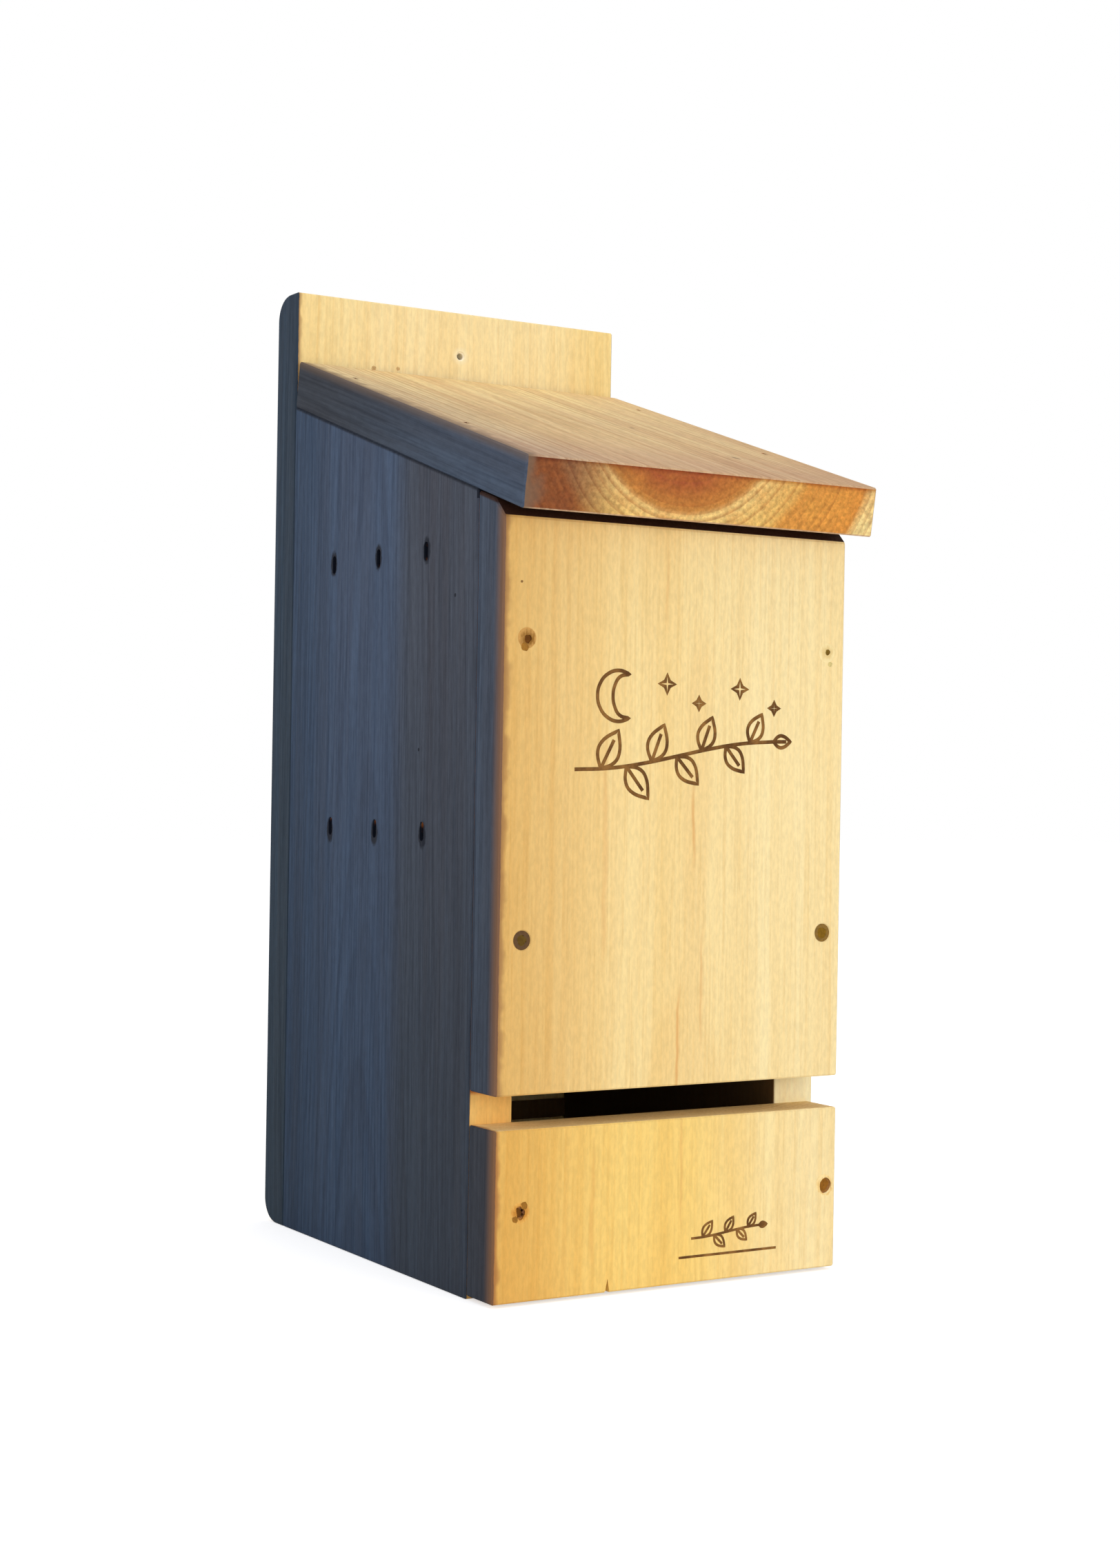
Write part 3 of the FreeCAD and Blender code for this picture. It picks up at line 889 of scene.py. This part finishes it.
frontFacing = Matrix.Rotation(math.radians(90), 4, "X")
outerRagged = 0.16
tornLift = 0.2
tornThick = 0.25
fibreShift = 5
tornRims = {
    "tornRimUpperRight": {"place": (79.8, 282.4), "outer": 5.2, "inner": 1.3, "tall": 1.1,
                          "ragged": 0.25, "seed": 4,
                          "light": rgb(252, 232, 176), "dark": rgb(232, 204, 140)},
    "tornRimLowerLeft": {"place": (-78.2, 39.5), "outer": 5.2, "inner": 2.3, "tall": 1.15,
                         "ragged": 0.35, "seed": 12,
                         "light": rgb(238, 186, 98), "dark": rgb(204, 140, 58)},
    "tornRimUpperLeft": {"place": (-79.1, 281.6), "outer": 4.9, "inner": 1.6, "tall": 1.2,
                         "ragged": 0.35, "seed": 7,
                         "light": rgb(208, 158, 88), "dark": rgb(146, 100, 38)},
    "tornRimLowerRight": {"place": (83.6, 38.7), "outer": 5.2, "inner": 3.3, "tall": 1.12,
                          "ragged": 0.06, "seed": 3,
                          "light": rgb(252, 226, 164), "dark": rgb(238, 200, 128)},
}


def tornMaterial(name, rim):
    # pale at the outside, like the board, and darker towards the screw
    material, tree, shader, place = newMaterial(name)
    x, z = rim["place"]
    away = addAway(tree, place, (x * mm, 0, z * mm))
    fibres = addNoise(tree, addStretched(tree, place, (1, 1, 0.4)), 900.0, 3.0, 0.6).outputs["Fac"]
    shift = addMath(tree, "MULTIPLY", addMath(tree, "SUBTRACT", fibres, 0.5), fibreShift * mm)
    dark = addRamp(tree, addMath(tree, "ADD", away, shift), rim["inner"] * mm, rim["outer"] * mm,
                   1.0, 0.0)
    tree.links.new(addMix(tree, dark, rim["light"], rim["dark"]), shader.inputs["Base Color"])
    addBump(tree, shader, fibres, 0.4, 0.4)
    shader.inputs["Roughness"].default_value = 0.85
    shader.inputs["Specular IOR Level"].default_value = 0.2
    return material


def buildTornRim(name, rim):
    chance = random.Random(rim["seed"])
    lobes = [(count, chance.uniform(0.3, 1) / count, chance.uniform(0, 2 * math.pi))
             for count in (2, 3, 5, 9)]
    sheet = bmesh.new()
    bmesh.ops.create_circle(sheet, cap_ends=True, segments=40, radius=rim["outer"] * mm)
    middle = sheet.faces[:]
    bmesh.ops.inset_region(sheet, faces=middle, thickness=(rim["outer"] - rim["inner"]) * mm,
                           use_boundary=True, use_even_offset=True)
    inner = {vert for face in middle for vert in face.verts}
    bmesh.ops.delete(sheet, geom=middle, context="FACES_ONLY")
    for vert in sheet.verts:
        angle = math.atan2(vert.co.y, vert.co.x)
        wave = sum(size * math.sin(count * angle + phase) for count, size, phase in lobes)
        vert.co.xy *= 1 + wave * (rim["ragged"] if vert in inner else outerRagged)
        vert.co.y *= rim["tall"]
        vert.co.z = chance.uniform(0.0, tornLift) * mm if vert in inner else -tornLift * mm
    bmesh.ops.solidify(sheet, geom=sheet.faces[:], thickness=tornThick * mm)
    bmesh.ops.recalc_face_normals(sheet, faces=sheet.faces[:])
    x, z = rim["place"]
    facing = Matrix.Translation((x * mm, panelFace, z * mm)) @ frontFacing
    bmesh.ops.transform(sheet, matrix=facing, verts=sheet.verts[:])
    mesh = newMesh(name, sheet)
    giveMaterial(mesh, tornMaterial(name + "Wood", rim))
    piece = bpy.data.objects.new(name, mesh)
    bpy.context.scene.collection.objects.link(piece)
    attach(piece, "root")


for name, rim in tornRims.items():
    buildTornRim(name, rim)
print("torn rims built")


# Dirt that fills the middles of the screws' recesses, and smudges and specks on the boards

recessDepth = -205.6
spotRim = 0.7  # a spot's top, as a share of its foot, where it has no other
spots = {
    "recessDirtUpperLeft": {"depth": recessDepth, "colour": rgb(112, 66, 16), "height": 0.1,
                            "places": ((-79.5, 282, 2.5),)},
    "recessDirtUpperRight": {"depth": recessDepth, "colour": rgb(134, 104, 36), "height": 0.1,
                             "places": ((79.5, 282, 2.5),)},
    "recessDirtLowerLeft": {"depth": recessDepth, "colour": rgb(110, 66, 14), "height": 0.1,
                            "places": ((-79.5, 39.5, 2.2),)},
    "recessDirtMiddleLeft": {"depth": recessDepth, "colour": rgb(100, 76, 24), "height": 0.12,
                             "places": ((-79.5, 154.5, 2.2),)},
    "recessDirtMiddleRight": {"depth": recessDepth, "colour": rgb(136, 100, 20), "height": 0.12,
                              "places": ((79.5, 154.5, 2.6),)},
    "recessDirtLowerRight": {"depth": recessDepth, "colour": rgb(152, 98, 26), "height": 0.12,
                             "places": ((82.7, 39.5, 2.9),)},
    "tornSmudges": {"depth": -206.05, "colour": rgb(168, 116, 44), "height": 0.2, "rim": 0.5,
                    "places": ((-76.4, 42.4, 1.7), (-80.6, 36.8, 1.5), (-80.6, 278.2, 1.8))},
    "paleSmudge": {"depth": -206, "colour": rgb(222, 200, 134), "height": 0.1,
                   "places": ((81.3, 277.0, 1.2),)},
    "panelSpeck": {"depth": -206, "colour": rgb(150, 112, 66), "height": 0.1,
                   "places": ((-82.5, 305.6, 0.6),)},
    "backSpecks": {"depth": 0, "colour": rgb(220, 182, 124), "height": 0.08,
                   "places": ((-49.5, 426.8, 1.3), (-35.9, 428.0, 1.0))},
}
cloudColour = rgb(70, 46, 24)


def spotMaterial(name, colour):
    material, tree, shader, place = newMaterial(name)
    noise = addNoise(tree, place, 700.0, 3.0, 0.6).outputs["Fac"]
    cloud = addRamp(tree, noise, 0.35, 0.65, 0.0, 0.3)
    tree.links.new(addMix(tree, cloud, colour, cloudColour), shader.inputs["Base Color"])
    tree.links.new(addRamp(tree, noise, 0.35, 0.65, 0.8, 0.95), shader.inputs["Roughness"])
    addBump(tree, shader, noise, 0.3, 0.2)
    shader.inputs["Specular IOR Level"].default_value = 0.15
    return material


def buildSpots(name, plan):
    chance = random.Random(len(name))
    sheet = bmesh.new()
    for across, z, radius in plan["places"]:
        spot = bmesh.ops.create_circle(sheet, cap_ends=True, segments=14,
                                       radius=radius * mm)["verts"]
        for vert in spot:
            vert.co.xy *= chance.uniform(0.85, 1.12)
        face = spot[0].link_faces[0]
        raised = bmesh.ops.extrude_face_region(sheet, geom=[face])["geom"]
        top = [item for item in raised if isinstance(item, bmesh.types.BMVert)]
        rim = plan.get("rim", spotRim)
        bmesh.ops.scale(sheet, vec=(rim, rim, 1), verts=top)
        bmesh.ops.translate(sheet, vec=(0, 0, plan["height"] * mm), verts=top)
        place = Matrix.Translation(at(across, plan["depth"], z)) @ frontFacing
        bmesh.ops.transform(sheet, matrix=place, verts=spot + top)
    bmesh.ops.recalc_face_normals(sheet, faces=sheet.faces[:])
    mesh = newMesh(name, sheet)
    giveMaterial(mesh, spotMaterial(name + "Dirt", plan["colour"]))
    piece = bpy.data.objects.new(name, mesh)
    bpy.context.scene.collection.objects.link(piece)
    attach(piece, "root")


for name, plan in spots.items():
    buildSpots(name, plan)
print("specks built")


# Stage: floor, light and camera

warmWhite = rgb(255, 252, 246)
coolWhite = rgb(250, 251, 255)
stage = {
    "floorSize": 12.0, "floorDrop": 0.1, "floorColour": rgb(250, 250, 250), "floorGlow": 0.55,
    "ambient": 0.55, "ambientColour": coolWhite,
}
# in metres from the row's origin
lamps = {
    "keyLamp": {"place": (0.2, -2.0, 0.55), "size": 1.0, "power": 12.2, "colour": warmWhite},
    "topLamp": {"place": (0.2, -0.4, 2.1), "size": 1.0, "power": 8, "colour": warmWhite},
    "leftLamp": {"place": (-1.8, -0.5, 0.9), "size": 1.2, "power": 6, "colour": coolWhite},
}
camera = {
    "place": (-589.7, -1068.08, 224.4), "aim": (0.8, -103.18, 220.2), "roll": 0.949, "lens": 54.6,
    "sensor": 36,
}


def buildFloor():
    sheet = bmesh.new()
    bmesh.ops.create_grid(sheet, x_segments=1, y_segments=1, size=stage["floorSize"] / 2)
    floor = bpy.data.objects.new("floor", newMesh("floor", sheet))
    bpy.context.scene.collection.objects.link(floor)
    material = bpy.data.materials.new("floorPaper")
    material.use_nodes = True
    tree = material.node_tree
    shader = tree.nodes["Principled BSDF"]
    shader.inputs["Base Color"].default_value = stage["floorColour"]
    shader.inputs["Roughness"].default_value = 0.9
    shader.inputs["Specular IOR Level"].default_value = 0.0
    seen = addNode(tree, "ShaderNodeLightPath").outputs["Is Camera Ray"]
    glow = addMath(tree, "MULTIPLY", seen, stage["floorGlow"])
    tree.links.new(glow, shader.inputs["Emission Strength"])
    shader.inputs["Emission Color"].default_value = (1, 1, 1, 1)
    # from below the floor isn't seen, so the open bottom is
    below = addNode(tree, "ShaderNodeNewGeometry").outputs["Backfacing"]
    tree.links.new(addMath(tree, "SUBTRACT", 1.0, below), shader.inputs["Alpha"])
    giveMaterial(floor.data, material)
    floor.location.z = -stage["floorDrop"] * mm
    floor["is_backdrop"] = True


def buildWorld():
    world = bpy.data.worlds.new("studio")
    world.use_nodes = True
    bpy.context.scene.world = world
    tree = world.node_tree
    background = tree.nodes["Background"]
    path = addNode(tree, "ShaderNodeLightPath").outputs
    seen = addMath(tree, "MAXIMUM", path["Is Camera Ray"], path["Is Glossy Ray"])
    seen = addMath(tree, "MAXIMUM", seen, path["Is Transmission Ray"])
    colour = addMix(tree, seen, stage["ambientColour"], (1, 1, 1, 1))
    strength = addRamp(tree, seen, 0.0, 1.0, stage["ambient"], 1.0, smooth=False)
    tree.links.new(colour, background.inputs["Color"])
    tree.links.new(strength, background.inputs["Strength"])


def buildLamps():
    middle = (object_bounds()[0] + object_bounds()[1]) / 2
    for name, lamp in lamps.items():
        data = bpy.data.lights.new(name, "AREA")
        data.shape = "DISK"
        data.size = lamp["size"]
        data.energy = lamp["power"]
        data.color = lamp["colour"][:3]
        item = bpy.data.objects.new(name, data)
        item.location = lamp["place"]
        item.rotation_mode = "QUATERNION"
        item.rotation_quaternion = (middle - item.location).to_track_quat("-Z", "Y")
        bpy.context.scene.collection.objects.link(item)


def buildCamera():
    data = bpy.data.cameras.new("camera")
    data.lens = camera["lens"]
    data.sensor_width = camera["sensor"]
    item = bpy.data.objects.new("camera", data)
    item.location = at(*camera["place"])
    aim = at(*camera["aim"]) - item.location
    roll = Quaternion((0, 0, 1), math.radians(camera["roll"]))
    item.rotation_mode = "QUATERNION"
    item.rotation_quaternion = aim.to_track_quat("-Z", "Y") @ roll
    bpy.context.scene.collection.objects.link(item)
    bpy.context.scene.camera = item


buildFloor()
buildWorld()
buildLamps()
buildCamera()
bpy.context.scene.view_settings.view_transform = "Standard"
print("stage built")
